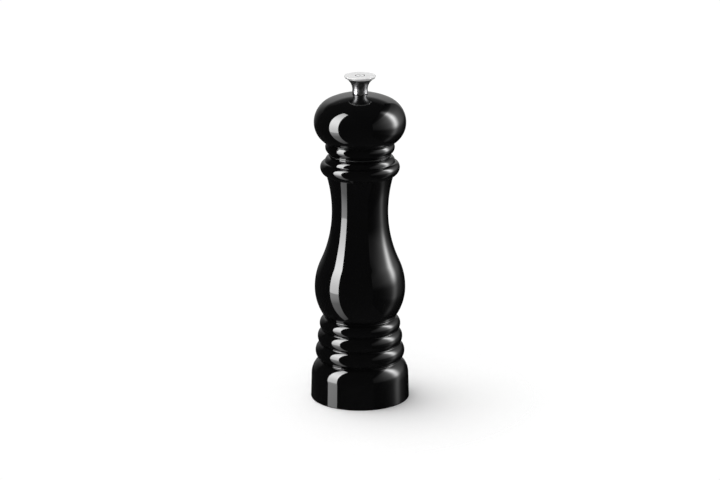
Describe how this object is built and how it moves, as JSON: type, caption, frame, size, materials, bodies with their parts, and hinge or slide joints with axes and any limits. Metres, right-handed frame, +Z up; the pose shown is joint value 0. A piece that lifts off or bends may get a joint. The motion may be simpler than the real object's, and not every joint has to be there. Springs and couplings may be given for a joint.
{
  "type": "pepper mill",
  "caption": "Tall turned pepper mill in gloss black with a domed head that turns a square spindle, a ceramic grinder, and a steel thumb nut that sets the grind.",
  "frame": {"origin": "centre of the base's foot ring, on the surface it stands on", "axes": "+Z up along the spindle from the base to the thumb nut; -Y is the front"},
  "size_m": [0.0626, 0.0626, 0.21],
  "materials": {
    "gloss_black": "polished",
    "liner": "satin",
    "inner_black": "moulded satin",
    "nylon": "satin",
    "nylon_black": "satin",
    "ceramic": "fired, unglazed",
    "knob_steel": "satin top, polished neck",
    "bar_steel": "drawn bar",
    "plate_steel": "stamped sheet",
    "screw_steel": "zinc plated",
    "spring_steel": "drawn wire",
    "brass": "machined"
  },
  "bodies": {
    "body": {"body_shell": "gloss_black", "chamber_liner": "liner", "grinder_housing": "inner_black", "housing_screws": "screw_steel", "stator": "ceramic", "retaining_plate": "plate_steel", "retaining_screws": "screw_steel", "spindle_bridge": "inner_black", "bridge_screws": "screw_steel", "bridge_bush": "brass", "spring_washer": "plate_steel", "spring": "spring_steel", "base_cover": "inner_black"},
    "thrust": {"thrust_washer": "plate_steel"},
    "spindle": {"spindle": "bar_steel", "rotor": "ceramic", "rotor_hub": "nylon", "rotor_washer": "plate_steel", "rotor_nut": "screw_steel"},
    "glide": {"head_glide_ring": "nylon_black"},
    "head": {"head_shell": "gloss_black", "head_core": "inner_black", "drive_plate": "plate_steel", "drive_plate_screws": "screw_steel"},
    "knob_seat": {"knob_washer": "nylon"},
    "knob": {"knob": "knob_steel", "knob_insert": "brass"}
  },
  "joints": [
    {"name": "head_lift", "type": "slide", "parent": "body", "child": "glide", "axis": [0, 0, 1], "range_m": [0, 0.075]},
    {"name": "head_turn", "type": "hinge", "parent": "glide", "child": "head", "pos_m": [0, 0, 0.16], "axis": [0, 0, 1], "continuous": true},
    {"name": "knob_lift", "type": "slide", "parent": "head", "child": "knob_seat", "axis": [0, 0, 1], "range_m": [0, 0.02]},
    {"name": "knob_turn", "type": "hinge", "parent": "knob_seat", "child": "knob", "pos_m": [0, 0, 0.2], "axis": [0, 0, 1], "range_deg": [-180, 540]},
    {"name": "grind_adjust", "type": "slide", "parent": "body", "child": "thrust", "axis": [0, 0, 1], "range_m": [-0.0012, 0.0004], "deforming": ["spring"]},
    {"name": "spindle_turn", "type": "hinge", "parent": "thrust", "child": "spindle", "pos_m": [0, 0, 0.1], "axis": [0, 0, 1], "continuous": true}
  ],
  "couplings": [
    {"joint": "knob_turn", "follows": "grind_adjust", "rad_per_m": -7854},
    {"joint": "spindle_turn", "follows": "head_turn", "ratio": 1}
  ]
}
